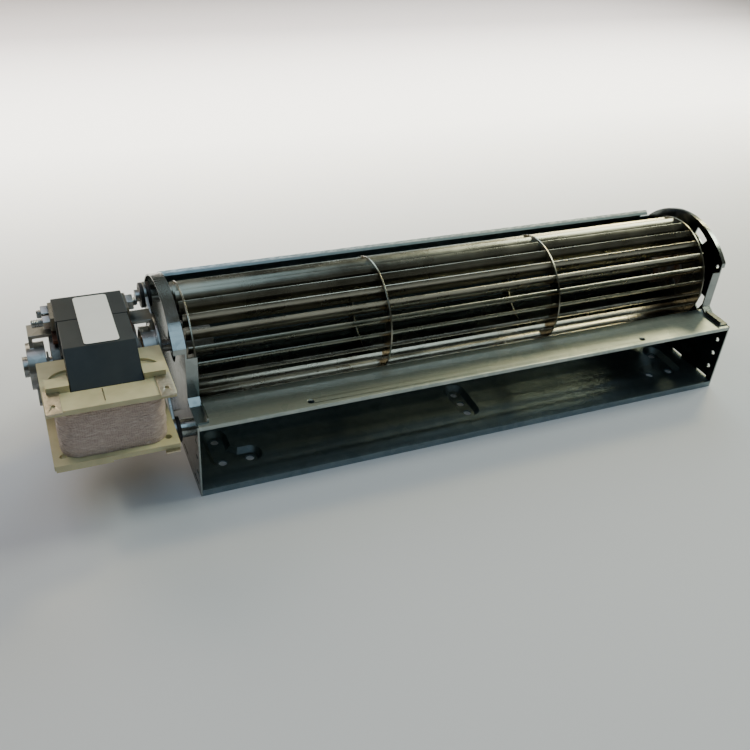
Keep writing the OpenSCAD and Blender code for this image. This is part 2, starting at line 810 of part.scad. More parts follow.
module earth_screw() { color("silver") place() rod(stack_x0 - earth_out, stack_x0, earth_r, earth_at, 32); }
module earth_nut() { color("silver") place() nut(stack_x0 - yoke_t - nut_t, nut_r - 0.6, earth_r, earth_at); }

// flat spider riveted to the right yoke, with an arm to each rubber of the left plate
mount_rivet_r = 1;
mount_screw_r = 1.6;

module mount_web() {
  rivet_edge = 3;
  hub_ro = yoke_rivet[1] + rivet_edge;
  arm_w = 10;
  difference() {
    union() {
      circle(hub_ro, $fn = 64);
      for (p = [rubber_up, rubber_low]) {
        translate(p) circle(rubber_r + 0.2, $fn = 48);
        rotate(atan2(p[1], p[0])) translate([cup_r + 2, -arm_w / 2]) square([norm(p) - cup_r, arm_w]);
      }
    }
    circle(cup_r + 0.4, $fn = 64);
    for (p = [rubber_up, rubber_low]) translate(p) circle(rubber_neck_r, $fn = 32);
    for (s = [-1, 1]) translate(s * yoke_rivet) circle(mount_rivet_r + 0.05, $fn = 24);
  }
}

module motor_mount_bracket() { color("#8b8f8c") place() along_x(web_x, web_x + mount_t) mount_web(); }

module mount_rivets() {
  head_r = 1.4;
  head = 0.7;
  x0 = web_x - yoke_t;
  x1 = web_x + mount_t;
  color("silver") place() for (s = [-1, 1]) {
    rod(x0 - head, x0, head_r, s * yoke_rivet, 24);
    rod(x0, x1, mount_rivet_r, s * yoke_rivet, 24);
    rod(x1, x1 + head, head_r, s * yoke_rivet, 24);
  }
}

// grommet with the spider's arm in its groove
module mount_rubber(p) {
  color("black") place() difference() {
    union() {
      rod(web_x - rubber_t, web_x, rubber_r, p);
      rod(web_x, web_x + mount_t, rubber_neck_r, p, 32);
      rod(web_x + mount_t, web_x + mount_t + rubber_t, rubber_r, p);
    }
    rod(web_x - 3, web_x + 6, mount_screw_r + 0.1, p, 32);
  }
}
module mount_rubber_upper() { mount_rubber(rubber_up); }
module mount_rubber_lower() { mount_rubber(rubber_low); }

module mount_screws() {
  head_r = 3;
  head = 2.2;
  groove = [8, 0.8];
  x0 = web_x - rubber_t;
  color("silver") place() for (p = [rubber_up, rubber_low]) {
    rod(x0, x_left + sheet_t, mount_screw_r, p, 32);
    difference() {
      rod(x0 - head, x0, head_r, p, 32);
      translate([x0 - head - 1, p[0] - groove[0] / 2, p[1] - groove[1] / 2]) cube([2, groove[0], groove[1]]);
    }
  }
}

label_x0 = -46.3;
label_y0 = -31.4;
label_w = 14.6;
label_len = 39.4;
label_t = 0.1;

// the label bridges the step between the two packets
module rating_label() {
  color("white") place() translate([label_x0, label_y0, stack_hz - seam_step]) difference() {
    cube([label_w, label_len, seam_step + label_t]);
    translate([-1, coil_seam_y - label_y0, -1]) cube([label_w + 2, label_len, seam_step + 1]);
  }
}

scroll_shell();
shelf();
side_plate_left();
side_plate_right();
wheel_blades();
wheel_disc_left();
wheel_disc_right();
wheel_ring_left();
wheel_ring_right();
wheel_hub_left();
wheel_hub_right();
hub_rivets();
hub_set_screw();
stub_shaft();
end_bearing_bush();
end_bearing_rubber();
motor_shaft();
rotor_core();
rotor_cage();
thrust_washer_left();
thrust_washer_right();
stator_pole_stack();
stator_coil_stack();
shading_ring_top();
shading_ring_bottom();
coil_former();
coil_winding();
coil_tape();
terminal_left();
terminal_right();
terminal_lower();
bearing_bracket_left();
bearing_bracket_right();
bearing_bush_left();
bearing_bush_right();
oil_felt_left();
oil_felt_right();
bearing_cap();
stack_screws();
stack_nuts();
earth_screw();
earth_nut();
motor_mount_bracket();
mount_rivets();
mount_rubber_upper();
mount_rubber_lower();
mount_screws();
rating_label();
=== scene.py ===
# Looks of a tangential blower with its motor. Everything is in metres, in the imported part's frame:
# X along the shaft from the motor to the wheel's free end, Y to the back, Z up.
import math
import random

import bpy
from mathutils import Euler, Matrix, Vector


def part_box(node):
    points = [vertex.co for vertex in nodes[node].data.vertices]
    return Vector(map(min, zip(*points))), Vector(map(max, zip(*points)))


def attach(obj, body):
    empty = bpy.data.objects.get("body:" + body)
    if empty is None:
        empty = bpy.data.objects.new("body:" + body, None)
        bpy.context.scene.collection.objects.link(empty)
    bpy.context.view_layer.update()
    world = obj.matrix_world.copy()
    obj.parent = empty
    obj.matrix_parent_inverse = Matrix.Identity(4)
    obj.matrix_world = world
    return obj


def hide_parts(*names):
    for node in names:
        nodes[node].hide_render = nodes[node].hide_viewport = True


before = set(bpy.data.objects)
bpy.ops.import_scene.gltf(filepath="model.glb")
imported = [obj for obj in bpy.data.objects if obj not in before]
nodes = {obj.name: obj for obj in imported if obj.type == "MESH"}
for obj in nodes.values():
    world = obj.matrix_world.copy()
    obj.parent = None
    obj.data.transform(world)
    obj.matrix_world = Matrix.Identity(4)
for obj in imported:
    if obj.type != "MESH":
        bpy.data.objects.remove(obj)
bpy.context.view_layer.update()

MM = 0.001

# The shaft's line, worked out from the wheel's left disc
disc_lo, disc_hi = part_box("wheel_disc_left")
AXIS_Y = (disc_lo.y + disc_hi.y) / 2
AXIS_Z = (disc_lo.z + disc_hi.z) / 2
SHAFT = Vector((disc_lo.x, AXIS_Y, AXIS_Z))


# Camera

# Its place seen from the shaft's line at the wheel's left disc, and its turn in degrees
CAMERA_FROM_DISC = (-0.06614, -0.35903, 0.23834)
CAMERA_TURN = (54.852, -3.972, -22.495)
CAMERA_NEAREST = 0.01
# Lens and sensor are in millimetres
CAMERA_LENS = 42.63
CAMERA_SENSOR = 36


def make_camera():
    data = bpy.data.cameras.new("camera")
    data.lens = CAMERA_LENS
    data.sensor_width = CAMERA_SENSOR
    data.clip_start = CAMERA_NEAREST
    camera = bpy.data.objects.new("camera", data)
    camera.location = SHAFT + Vector(CAMERA_FROM_DISC)
    camera.rotation_euler = Euler([math.radians(a) for a in CAMERA_TURN])
    bpy.context.scene.collection.objects.link(camera)
    bpy.context.scene.camera = camera


# Node helpers

class Shader:
    """One procedural material, with short calls for the nodes it is made of. Scales of noise and cells are
    counts to the metre."""

    def __init__(self, name):
        self.material = bpy.data.materials.new(name)
        self.material.use_nodes = True
        self.tree = self.material.node_tree
        self.tree.nodes.clear()
        self.out = self.add("ShaderNodeOutputMaterial")
        self.bsdf = self.add("ShaderNodeBsdfPrincipled")
        self.link(self.bsdf.outputs["BSDF"], self.out.inputs["Surface"])
        coordinates = self.add("ShaderNodeTexCoord")
        self.where = coordinates.outputs["Object"]
        self.facing = coordinates.outputs["Normal"]

    def add(self, kind, **settings):
        node = self.tree.nodes.new(kind)
        for key, value in settings.items():
            setattr(node, key, value)
        return node

    def link(self, a, b):
        self.tree.links.new(a, b)

    def put(self, socket, value):
        """Link an output, or set a plain value."""
        if isinstance(value, bpy.types.NodeSocket):
            self.link(value, socket)
        elif hasattr(value, "__len__") and len(value) == 3 and len(socket.default_value) == 4:
            socket.default_value = (*value, 1)
        else:
            socket.default_value = value

    def scaled(self, x, y, z):
        """The place, with its own scale along each axis."""
        node = self.add("ShaderNodeMapping")
        self.link(self.where, node.inputs["Vector"])
        node.inputs["Scale"].default_value = (x, y, z)
        return node.outputs["Vector"]

    def noise(self, scale, detail=3, rough=0.5, vector=None):
        node = self.add("ShaderNodeTexNoise")
        self.link(vector or self.where, node.inputs["Vector"])
        node.inputs["Scale"].default_value = scale
        node.inputs["Detail"].default_value = detail
        node.inputs["Roughness"].default_value = rough
        return node.outputs["Fac"]

    def cells(self, scale):
        node = self.add("ShaderNodeTexVoronoi")
        self.link(self.where, node.inputs["Vector"])
        node.inputs["Scale"].default_value = scale
        return node.outputs["Color"]

    def axis(self, name, vector=None):
        """One coordinate of the place, or of another vector."""
        node = self.add("ShaderNodeSeparateXYZ")
        self.link(vector or self.where, node.inputs["Vector"])
        return node.outputs[name]

    def math(self, operation, a, b=0.0):
        node = self.add("ShaderNodeMath", operation=operation)
        self.put(node.inputs[0], a)
        self.put(node.inputs[1], b)
        return node.outputs[0]

    def plus(self, a, b):
        return self.math("ADD", a, b)

    def times(self, a, b):
        return self.math("MULTIPLY", a, b)

    def waves(self, value, pitch):
        """Even waves from -1 to 1 along a value in metres."""
        return self.math("SINE", self.times(value, 2 * math.pi / pitch))

    def spread(self, value, low, high, to_low=0.0, to_high=1.0):
        """The value's span from low to high, stretched to another span and cut off at its ends."""
        node = self.add("ShaderNodeMapRange")
        self.put(node.inputs["Value"], value)
        node.inputs["From Min"].default_value = low
        node.inputs["From Max"].default_value = high
        node.inputs["To Min"].default_value = to_low
        node.inputs["To Max"].default_value = to_high
        return node.outputs["Result"]

    def mix(self, factor, a, b):
        node = self.add("ShaderNodeMix", data_type="RGBA")
        self.put(node.inputs["Factor"], factor)
        self.put(node.inputs["A"], a)
        self.put(node.inputs["B"], b)
        return node.outputs["Result"]

    def bump(self, height, strength, distance):
        """Fine relief, on top of the relief that is there already."""
        node = self.add("ShaderNodeBump")
        normal = self.bsdf.inputs["Normal"]
        node.inputs["Strength"].default_value = strength
        node.inputs["Distance"].default_value = distance
        self.put(node.inputs["Height"], height)
        if normal.is_linked:
            self.link(normal.links[0].from_socket, node.inputs["Normal"])
        self.link(node.outputs["Normal"], normal)

    def finish(self, color, rough, metal=0.0, **more):
        self.put(self.bsdf.inputs["Base Color"], color)
        self.put(self.bsdf.inputs["Roughness"], rough)
        self.bsdf.inputs["Metallic"].default_value = metal
        for key, value in more.items():
            self.bsdf.inputs[key.replace("_", " ")].default_value = value
        return self.material


def worn(shader, color, light, scale, low=0.35, high=0.7):
    """Colour that varies softly between two values."""
    return shader.mix(shader.spread(shader.noise(scale, 4), low, high), color, light)


# Materials

ZINC_CRYSTALS = 230
# colour of the painted highlight on the scroll's rolled rim
RIM_HIGHLIGHT_COLOR = (0.8, 0.82, 0.8)
RIM_BLEND = 0.5 * MM


def galvanised(name, dark, light, rough, painted_shade_side=None, rim=None):
    """Zinc-coated sheet: faint crystals, rolling lines along X and soft stains. It may have painted shade, a
    darker colour on the faces turned towards the motor, and a painted highlight, a bright glittering rim
    above a height."""
    s = Shader(name)
    low, high = 0.55, 1.2
    crystals = s.times(s.cells(ZINC_CRYSTALS), 0.35)
    stain = s.noise(22, 4, 0.6)
    lines = s.times(s.noise(5, 3, 0.6, s.scaled(6, 160, 160)), 0.5)
    tone = s.plus(crystals, s.plus(stain, lines))
    color = s.mix(s.spread(tone, low, high), dark, light)
    if painted_shade_side:
        # painted shade: faces turned towards the motor (-X) get a darker colour
        shaded_left_faces = s.spread(s.times(s.axis("X", s.facing), -1), 0.5, 0.9)
        color = s.mix(shaded_left_faces, color, painted_shade_side)
    if rim:
        # painted highlight: a bright glittering band on the rim above a height
        glint_highlight = s.spread(s.noise(1, 2, 0.6, s.scaled(300, 1200, 1200)), 0.4, 0.6, 0.45, 1)
        above = s.spread(s.axis("Z"), rim, rim + RIM_BLEND)
        color = s.mix(s.times(above, glint_highlight), color, RIM_HIGHLIGHT_COLOR)
    s.bump(s.noise(14, 2), 0.12, 0.4 * MM)
    s.bump(s.noise(1800, 2), 0.05, 0.1 * MM)
    return s.finish(color, s.spread(tone, low, high, rough + 0.06, rough - 0.05), 1.0)


def rolled_metal(name, dark, light, rough):
    """Thin strip with fine rolling lines along X, dulled by soft blotches of oil film."""
    s = Shader(name)
    lines = s.noise(6, 3, 0.65, s.scaled(4, 420, 420))
    blotch = s.noise(34, 4, 0.6)
    color = s.mix(s.spread(s.plus(lines, blotch), 0.75, 1.3), dark, light)
    s.bump(lines, 0.06, 0.2 * MM)
    s.bump(s.noise(30, 2), 0.1, 0.2 * MM)
    return s.finish(color, s.spread(blotch, 0.3, 0.7, rough - 0.06, rough + 0.1), 1.0)


METAL_GRAIN = 700


def plain_metal(name, color, rough):
    """Metal with a fine, slightly lighter grain."""
    s = Shader(name)
    light = [min(1, c * 1.3 + 0.02) for c in color]
    s.bump(s.noise(METAL_GRAIN * 3, 2), 0.06, 0.1 * MM)
    dulled = s.spread(s.noise(METAL_GRAIN / 4), 0.3, 0.7, rough - 0.05, rough + 0.08)
    return s.finish(worn(s, color, light, METAL_GRAIN), dulled, 1.0)


def stained_metal(name, color, stain, rough):
    """Metal with brown grease and dust that settled in patches."""
    s = Shader(name)
    patch = s.spread(s.noise(170, 5, 0.7), 0.42, 0.62)
    s.bump(patch, 0.3, 0.2 * MM)
    return s.finish(s.mix(patch, color, stain), s.spread(patch, 0, 1, rough, 0.75), 0.75)


LAMINATION = 0.5 * MM


def laminated(name, dark, light):
    """Varnished edges of thin laminations, stacked along X."""
    s = Shader(name)
    film = s.noise(55, 4, 0.6)
    drip = s.noise(14, 2, 0.5, s.scaled(6, 2, 2))
    tone = s.plus(film, s.times(drip, 0.6))
    s.bump(s.spread(s.waves(s.axis("X"), LAMINATION), -1, 1), 0.18, 0.08 * MM)
    s.bump(s.noise(900, 3), 0.12, 0.15 * MM)
    color = s.mix(s.spread(tone, 0.6, 1.05), dark, light)
    return s.finish(color, s.spread(film, 0.3, 0.7, 0.4, 0.55), Specular_IOR_Level=0.32)


def moulded(name, color, dark, rough=0.5, subsurface=0.0):
    """Plastic, rubber, felt or paper: soft patches of a darker tone and a fine grain."""
    s = Shader(name)
    tone = worn(s, dark, color, 90, 0.25, 0.6)
    s.bump(s.noise(1500, 3), 0.1, 0.2 * MM)
    s.bump(s.noise(120, 2), 0.12, 0.4 * MM)
    depth = {"Subsurface_Weight": subsurface, "Subsurface_Scale": 2 * MM} if subsurface else {}
    return s.finish(tone, s.spread(s.noise(300), 0.3, 0.7, rough - 0.06, rough + 0.08), **depth)


# Distances between the tape's yarns, and how far the upright ones wander
YARN_UPRIGHT = 0.95 * MM
YARN_LEVEL = 0.62 * MM
YARN_WANDER = 2.5 * MM


def wound_tape(name, color, dark, light):
    """Crepe tape: fine yarns both ways, with paler fibres."""
    s = Shader(name)
    around = s.plus(s.axis("X"), s.axis("Y"))
    wander = s.times(s.noise(260, 2), YARN_WANDER)
    upright = s.waves(s.plus(around, wander), YARN_UPRIGHT)
    level = s.waves(s.axis("Z"), YARN_LEVEL)
    weave = s.spread(s.plus(upright, s.times(level, 0.7)), -1.5, 1.5)
    fibre = s.noise(1, 3, 0.6, s.scaled(420, 420, 2400))
    patch = s.noise(60, 4, 0.6)
    tone = s.plus(s.times(weave, 0.5), s.plus(patch, s.times(fibre, 0.6)))
    base = s.mix(s.spread(tone, 0.6, 1.15), dark, color)
    shade = s.mix(s.spread(fibre, 0.5, 0.75), base, light)
    s.bump(weave, 0.35, 0.2 * MM)
    s.bump(fibre, 0.35, 0.2 * MM)
    return s.finish(shade, 0.78, Sheen_Weight=0.2, Sheen_Roughness=0.5)


def assign(material, *names):
    for name in names:
        data = nodes[name].data
        data.materials.clear()
        data.materials.append(material)


# Finish of the carried-over solids: merged seams, small round edges, clean shading

# Both angles are in degrees
SMOOTH_BELOW = 32
ROUND_ABOVE = 38
MERGE_BELOW = 0.01 * MM


def make_smoothing():
    """Node group that shades smoothly over every edge flatter than the limit."""
    group = bpy.data.node_groups.new("smooth_by_angle", "GeometryNodeTree")
    for way in ("INPUT", "OUTPUT"):
        group.interface.new_socket("Geometry", in_out=way, socket_type="NodeSocketGeometry")
    first = group.nodes.new("NodeGroupInput")
    last = group.nodes.new("NodeGroupOutput")
    faces = group.nodes.new("GeometryNodeSetShadeSmooth")
    faces.domain = "FACE"
    edges = group.nodes.new("GeometryNodeSetShadeSmooth")
    edges.domain = "EDGE"
    angle = group.nodes.new("GeometryNodeInputMeshEdgeAngle")
    flat = group.nodes.new("FunctionNodeCompare")
    flat.operation = "LESS_THAN"
    flat.inputs["B"].default_value = math.radians(SMOOTH_BELOW)
    group.links.new(angle.outputs["Unsigned Angle"], flat.inputs["A"])
    group.links.new(flat.outputs["Result"], edges.inputs["Shade Smooth"])
    group.links.new(first.outputs["Geometry"], faces.inputs["Geometry"])
    group.links.new(faces.outputs["Geometry"], edges.inputs["Geometry"])
    group.links.new(edges.outputs["Geometry"], last.inputs["Geometry"])
    return group


def round_edges(width, *names, segments=2):
    """Round the sharp edges of nodes, by a width in millimetres."""
    for name in names:
        add = nodes[name].modifiers.new
        add("merge", "WELD").merge_threshold = MERGE_BELOW
        bevel = add("edges", "BEVEL")
        bevel.width = width * MM
        bevel.segments = segments
        bevel.limit_method = "ANGLE"
        bevel.angle_limit = math.radians(ROUND_ABOVE)
        bevel.use_clamp_overlap = True
        add("smooth", "NODES").node_group = smoothing
        add("normals", "WEIGHTED_NORMAL").keep_sharp = True


# Modelled pieces

def make_piece(name, verts, faces, material, body, replaced, smooth=True):
    """Piece that rides on a body and stands for one of its solids."""
    mesh = bpy.data.meshes.new(name)
    mesh.from_pydata(verts, [], faces)
    mesh.polygons.foreach_set("use_smooth", [smooth] * len(faces))
    mesh.materials.append(material)
    piece = bpy.data.objects.new(name, mesh)
    bpy.context.scene.collection.objects.link(piece)
    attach(piece, body)
    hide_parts(replaced)


def rounded_outline(lo, hi, radius, step):
    """Points round a rectangle with round corners, evenly spaced, each with its outward direction."""
    corners = [(hi[0] - radius, lo[1] + radius, -90), (hi[0] - radius, hi[1] - radius, 0),
               (lo[0] + radius, hi[1] - radius, 90), (lo[0] + radius, lo[1] + radius, 180)]
    turns = max(3, round(radius * math.pi / 2 / step))
    points = []
    for k, (cx, cy, start) in enumerate(corners):
        for i in range(turns):
            a = math.radians(start + 90 * i / turns)
            points.append((cx + radius * math.cos(a), cy + radius * math.sin(a), math.cos(a), math.sin(a)))
        nx, ny, _ = corners[(k + 1) % 4]
        a = math.radians(start + 90)
        ax, ay = cx + radius * math.cos(a), cy + radius * math.sin(a)
        bx, by = nx + radius * math.cos(a), ny + radius * math.sin(a)
        runs = max(1, round(math.dist((ax, ay), (bx, by)) / step))
        points += [(ax + (bx - ax) * i / runs, ay + (by - ay) * i / runs, math.cos(a), math.sin(a))
                   for i in range(runs)]
    return points


def ring_faces(rows, count, first=0, flip=False):
    """Quads between closed rows of the same number of points."""
    faces = []
    for r in range(rows - 1):
        for i in range(count):
            j = (i + 1) % count
            a, b = first + r * count, first + (r + 1) * count
            quad = (a + i, a + j, b + j, b + i)
            faces.append(quad[::-1] if flip else quad)
    return faces


COIL_CORNER = 8.6 * MM
TAPE_STEP = 0.55 * MM
TAPE_ROW = 0.24 * MM
TAPE_TURN = 1.25 * MM
TAPE_WALL = 0.75 * MM

# Each turn of the tape takes one of many waves, and drifts up and down by a share of a turn on its way round
TAPE_WAVES = 40
TAPE_WAVE = 1.1 * MM
WAVE_STRETCH = (0.6, 1.4)
DRIFT = 0.25
DRIFTS_ROUND = 3

# Heights on the tape in millimetres, and a power below 1 that makes the ridges fuller. The tape is sunk, so
# that its highest point stays inside the solid
RIDGE_HIGH = 0.16
RIDGE_FULL = 0.6
WAVE_HIGH = 0.1
SWELL_HIGH = 0.08
CREASE_DEEP = 0.22
TAPE_SUNK = 0.22

# The swell's turn in radians for each metre along X
SWELL_TURN = 260

# Creases lie on the front, where the outward direction's Y is below a limit. Their lengths are in millimetres
CREASES = 26
CREASE_SLOPES = (-0.5, 0.5)
CREASE_LENGTHS = (4, 11)
CREASE_REACH = 0.9 * MM
CREASE_WIDE = 0.28 * MM
FRONT_BELOW = -0.5


def crease_depth(x, z, creases):
    """How far the creases press the tape in at a point, in millimetres."""
    depth = 0
    for cx, cz, slope, length in creases:
        away = (z - cz) - slope * (x - cx)
        along = (x - cx) / length
        if abs(along) < 1 and abs(away) < CREASE_REACH:
            depth += CREASE_DEEP * (1 - along * along) * math.exp(-(away / CREASE_WIDE) ** 2)
    return depth


def make_coil_tape(material):
    """Outer wrap of the coil: a ridge for each turn of the tape, a few creases, open above and below."""
    lo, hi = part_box("coil_tape")
    rng = random.Random(4)
    outline = rounded_outline(lo, hi, COIL_CORNER, TAPE_STEP)
    count = len(outline)
    rows = round((hi.z - lo.z) / TAPE_ROW)
    waves = [(rng.uniform(0, 2 * math.pi), rng.uniform(*WAVE_STRETCH)) for _ in range(TAPE_WAVES)]
    creases = []
    for _ in range(CREASES):
        cx, cz = rng.uniform(lo.x, hi.x), rng.uniform(lo.z, hi.z)
        creases.append((cx, cz, rng.uniform(*CREASE_SLOPES), rng.uniform(*CREASE_LENGTHS) * MM))
    verts = []
    for r in range(rows + 1):
        z = lo.z + (hi.z - lo.z) * r / rows
        for i, (x, y, nx, ny) in enumerate(outline):
            turn = z / TAPE_TURN + DRIFT * math.sin(i / count * 2 * DRIFTS_ROUND * math.pi)
            phase, stretch = waves[int(turn) % TAPE_WAVES]
            ridge = abs(math.sin(math.pi * turn)) ** RIDGE_FULL
            wave = WAVE_HIGH * math.sin(i * TAPE_STEP / TAPE_WAVE * stretch + phase)
            swell = SWELL_HIGH * math.sin(x * SWELL_TURN + phase)
            height = RIDGE_HIGH * ridge + wave * ridge + swell - TAPE_SUNK
            if ny < FRONT_BELOW:
                height -= crease_depth(x, z, creases)
            verts.append((x + nx * height * MM, y + ny * height * MM, z))
    for z in (lo.z, hi.z):
        verts += [(x - nx * TAPE_WALL, y - ny * TAPE_WALL, z) for x, y, nx, ny in outline]
    top, inner = rows * count, (rows + 1) * count
    faces = ring_faces(rows + 1, count)
    faces += ring_faces(2, count, inner, flip=True)
    for i in range(count):
        j = (i + 1) % count
        faces.append((i, inner + i, inner + j, j))
        faces.append((top + i, top + j, inner + count + j, inner + count + i))
    make_piece("wound_tape", verts, faces, material, "blower_body", "coil_tape")


LABEL_CORNER = 1.4 * MM
LABEL_STEP = 0.3 * MM
LABEL_FILM = 0.1 * MM
LABEL_INSET = 0.03 * MM


def make_label(material):
    """Bare label with round corners, over both lamination packets."""
    lo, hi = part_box("rating_label")
    outline = rounded_outline(lo, hi, LABEL_CORNER, LABEL_STEP)
    count = len(outline)
    levels = [(hi.z - LABEL_FILM, 0), (hi.z - LABEL_INSET, 0), (hi.z, LABEL_INSET)]
    verts = [(x - nx * gap, y - ny * gap, z) for z, gap in levels for x, y, nx, ny in outline]
    faces = ring_faces(len(levels), count)
    faces += [tuple(range(2 * count, 3 * count)), tuple(reversed(range(count)))]
    make_piece("bare_label", verts, faces, material, "blower_body", "rating_label",
               smooth=False)


THREAD_PITCH = 0.7 * MM
THREAD_DEPTH = 0.3 * MM
# A power above 1 rounds the thread's crest, and each turn has this many rows of points
THREAD_ROUND = 1.2
THREAD_ROWS = 6
ROD_SIDES = 24
ROD_CHAMFER = 0.5 * MM


def make_threaded_rods(name, node, centres, radius, material):
    """Rods along X with a real thread from end to end and a chamfer at each end."""
    lo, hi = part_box(node)
    rows = round((hi.x - lo.x) / (THREAD_PITCH / THREAD_ROWS))
    verts, faces = [], []
    for cy, cz in centres:
        first = len(verts)
        for r in range(rows + 1):
            x = lo.x + (hi.x - lo.x) * r / rows
            end = min(x - lo.x, hi.x - x)
            limit = radius - max(0, ROD_CHAMFER - end)
            for k in range(ROD_SIDES):
                a = 2 * math.pi * k / ROD_SIDES
                turn = (x / THREAD_PITCH - k / ROD_SIDES) % 1
                size = min(limit, radius - THREAD_DEPTH * abs(2 * turn - 1) ** THREAD_ROUND)
                verts.append((x, cy + size * math.cos(a), cz + size * math.sin(a)))
        faces += ring_faces(rows + 1, ROD_SIDES, first)
        faces += [tuple(first + k for k in reversed(range(ROD_SIDES))),
                  tuple(first + rows * ROD_SIDES + k for k in range(ROD_SIDES))]
    make_piece(name, verts, faces, material, "blower_body", node)


# Stage

STAGE_BACK = 1.9
STAGE_FRONT = -4.5
STAGE_SIDE = 4.5
STAGE_BEND = 0.3
STAGE_RISE = 0.35

# The floor's colours, and the depths between which one turns into the next. They paint light and shade:
# a pool of light behind the part, darker and bluer in front, darker again far behind
FLOOR_FRONT_SHADE = (0.69, 0.7, 0.76)
FLOOR_BACK_LIT = (0.95, 0.93, 0.88)
FLOOR_FAR_SHADE = (0.4, 0.37, 0.37)
FRONT_TO_BACK = (-0.1, 0.3)
BACK_TO_FAR = (0.4, 0.75)


def pale_floor():
    s = Shader("stage_pale")
    s.bump(s.noise(400, 2), 0.02, 1 * MM)
    depth = s.axis("Y")
    # painted light and shade: the floor grows lighter towards a pool behind the part and darker again far
    # behind
    near = s.mix(s.spread(depth, *FRONT_TO_BACK), FLOOR_FRONT_SHADE, FLOOR_BACK_LIT)
    return s.finish(s.mix(s.spread(depth, *BACK_TO_FAR), near, FLOOR_FAR_SHADE), 0.8)


def make_stage():
    """Pale floor that curves up a little far behind the part."""
    bend_start = STAGE_BACK - STAGE_BEND
    profile = [(STAGE_FRONT, 0.0), (bend_start, 0.0)]
    for degrees in range(10, 91, 10):
        a = math.radians(degrees)
        profile.append((bend_start + STAGE_BEND * math.sin(a), STAGE_BEND - STAGE_BEND * math.cos(a)))
    profile.append((STAGE_BACK, STAGE_RISE))
    verts = [(x, y, z) for y, z in profile for x in (-STAGE_SIDE, STAGE_SIDE)]
    faces = [(2 * i, 2 * i + 1, 2 * i + 3, 2 * i + 2) for i in range(len(profile) - 1)]
    mesh = bpy.data.meshes.new("stage_floor")
    mesh.from_pydata(verts, [], faces)
    mesh.polygons.foreach_set("use_smooth", [True] * len(faces))
    mesh.materials.append(pale_floor())
    floor = bpy.data.objects.new("stage_floor", mesh)
    bpy.context.scene.collection.objects.link(floor)


# Lights

# Square panels: name, azimuth and elevation in degrees, side in metres, power in watts, colour
PANELS = (
    ("key_right", 2, 50, 0.36, 6.4, (0.94, 1, 0.8)),
    ("warm_right", 32, 41, 0.22, 5.6, (1, 0.88, 0.5)),
    ("cool_back", 60, 33, 0.7, 5.4, (0.72, 0.9, 1)),
    ("warm_back", 120, 33, 0.7, 6, (1, 0.85, 0.65)),
    ("soft_left", 165, 72, 0.5, 1.5, (0.95, 0.9, 1)),
    ("cool_front", -105, 64, 0.9, 3.6, (0.55, 0.79, 1)),
)
PANEL_REACH = 1.3
PANELS_FACE = Vector((0, 0, 0.03))

FLOOR_LIGHT_PLACE = (-0.05, 0.54, 0.7)
FLOOR_LIGHT_SIZE = (1.9, 0.5)
FLOOR_LIGHT_SPREAD = 58
FLOOR_LIGHT_TILT = 4
FLOOR_LIGHT_POWER = 16
FLOOR_LIGHT_COLOR = (1, 0.97, 0.93)

ROOM_COLOR = (0.075, 0.078, 0.068)


def make_light(name, azimuth, elevation, size, power, color):
    """Square panel that faces the part, from an azimuth counted from X towards Y."""
    data = bpy.data.lights.new(name, "AREA")
    data.size = size
    data.energy = power
    data.color = color
    a, e = math.radians(azimuth), math.radians(elevation)
    away = Vector((math.cos(a) * math.cos(e), math.sin(a) * math.cos(e), math.sin(e)))
    light = bpy.data.objects.new(name, data)
    light.location = PANELS_FACE + away * PANEL_REACH
    light.rotation_euler = (PANELS_FACE - light.location).to_track_quat("-Z", "Y").to_euler()
    bpy.context.scene.collection.objects.link(light)


def make_floor_light():
    """Narrow panel over the floor behind the part, which it hardly reaches."""
    data = bpy.data.lights.new("floor_back", "AREA")
    data.shape = "RECTANGLE"
    data.size, data.size_y = FLOOR_LIGHT_SIZE
    data.spread = math.radians(FLOOR_LIGHT_SPREAD)
    data.energy = FLOOR_LIGHT_POWER
    data.color = FLOOR_LIGHT_COLOR
    light = bpy.data.objects.new("floor_back", data)
    light.location = FLOOR_LIGHT_PLACE
    light.rotation_euler = (math.radians(FLOOR_LIGHT_TILT), 0, 0)
    bpy.context.scene.collection.objects.link(light)


def make_world():
    world = bpy.data.worlds.new("room")
    world.use_nodes = True
    world.node_tree.nodes["Background"].inputs["Color"].default_value = (*ROOM_COLOR, 1)
    bpy.context.scene.world = world


make_camera()
make_stage()
make_world()
for panel in PANELS:
    make_light(*panel)
make_floor_light()


# Finishes

# Painted highlight: the scroll's rolled upper edge is coloured bright from a little below its top
scroll_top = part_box("scroll_shell")[1].z
RIM_DEPTH = 1.2 * MM

sheet = galvanised("galvanised_shelf", (0.28, 0.335, 0.325), (0.48, 0.525, 0.49), 0.42)
# the side plates carry painted shade on their faces turned towards the motor
plate = galvanised("galvanised_plate", (0.23, 0.26, 0.255), (0.38, 0.41, 0.39), 0.23,
                   painted_shade_side=(0.085, 0.095, 0.095))
# painted shade: the scroll shell gets a darker copy of the galvanised colour for its shaded inside
shaded_duct = galvanised("galvanised_duct", (0.15, 0.2, 0.225), (0.23, 0.29, 0.315), 0.44,
                  rim=scroll_top - RIM_DEPTH)
wheel = rolled_metal("wheel_aluminium", (0.19, 0.187, 0.15), (0.42, 0.405, 0.33), 0.25)
stack = laminated("lamination", (0.012, 0.018, 0.021), (0.026, 0.034, 0.037))
cream = moulded("former_plastic", (0.57, 0.52, 0.31), (0.44, 0.4, 0.23), 0.46, subsurface=0.08)
zinc = plain_metal("zinc_plate", (0.34, 0.35, 0.34), 0.28)
bracket = galvanised("bracket_steel", (0.2, 0.21, 0.2), (0.34, 0.35, 0.34), 0.3)
tinned = plain_metal("tinned_terminal", (0.42, 0.38, 0.29), 0.36)
bronze = plain_metal("sintered_bronze", (0.3, 0.2, 0.1), 0.45)
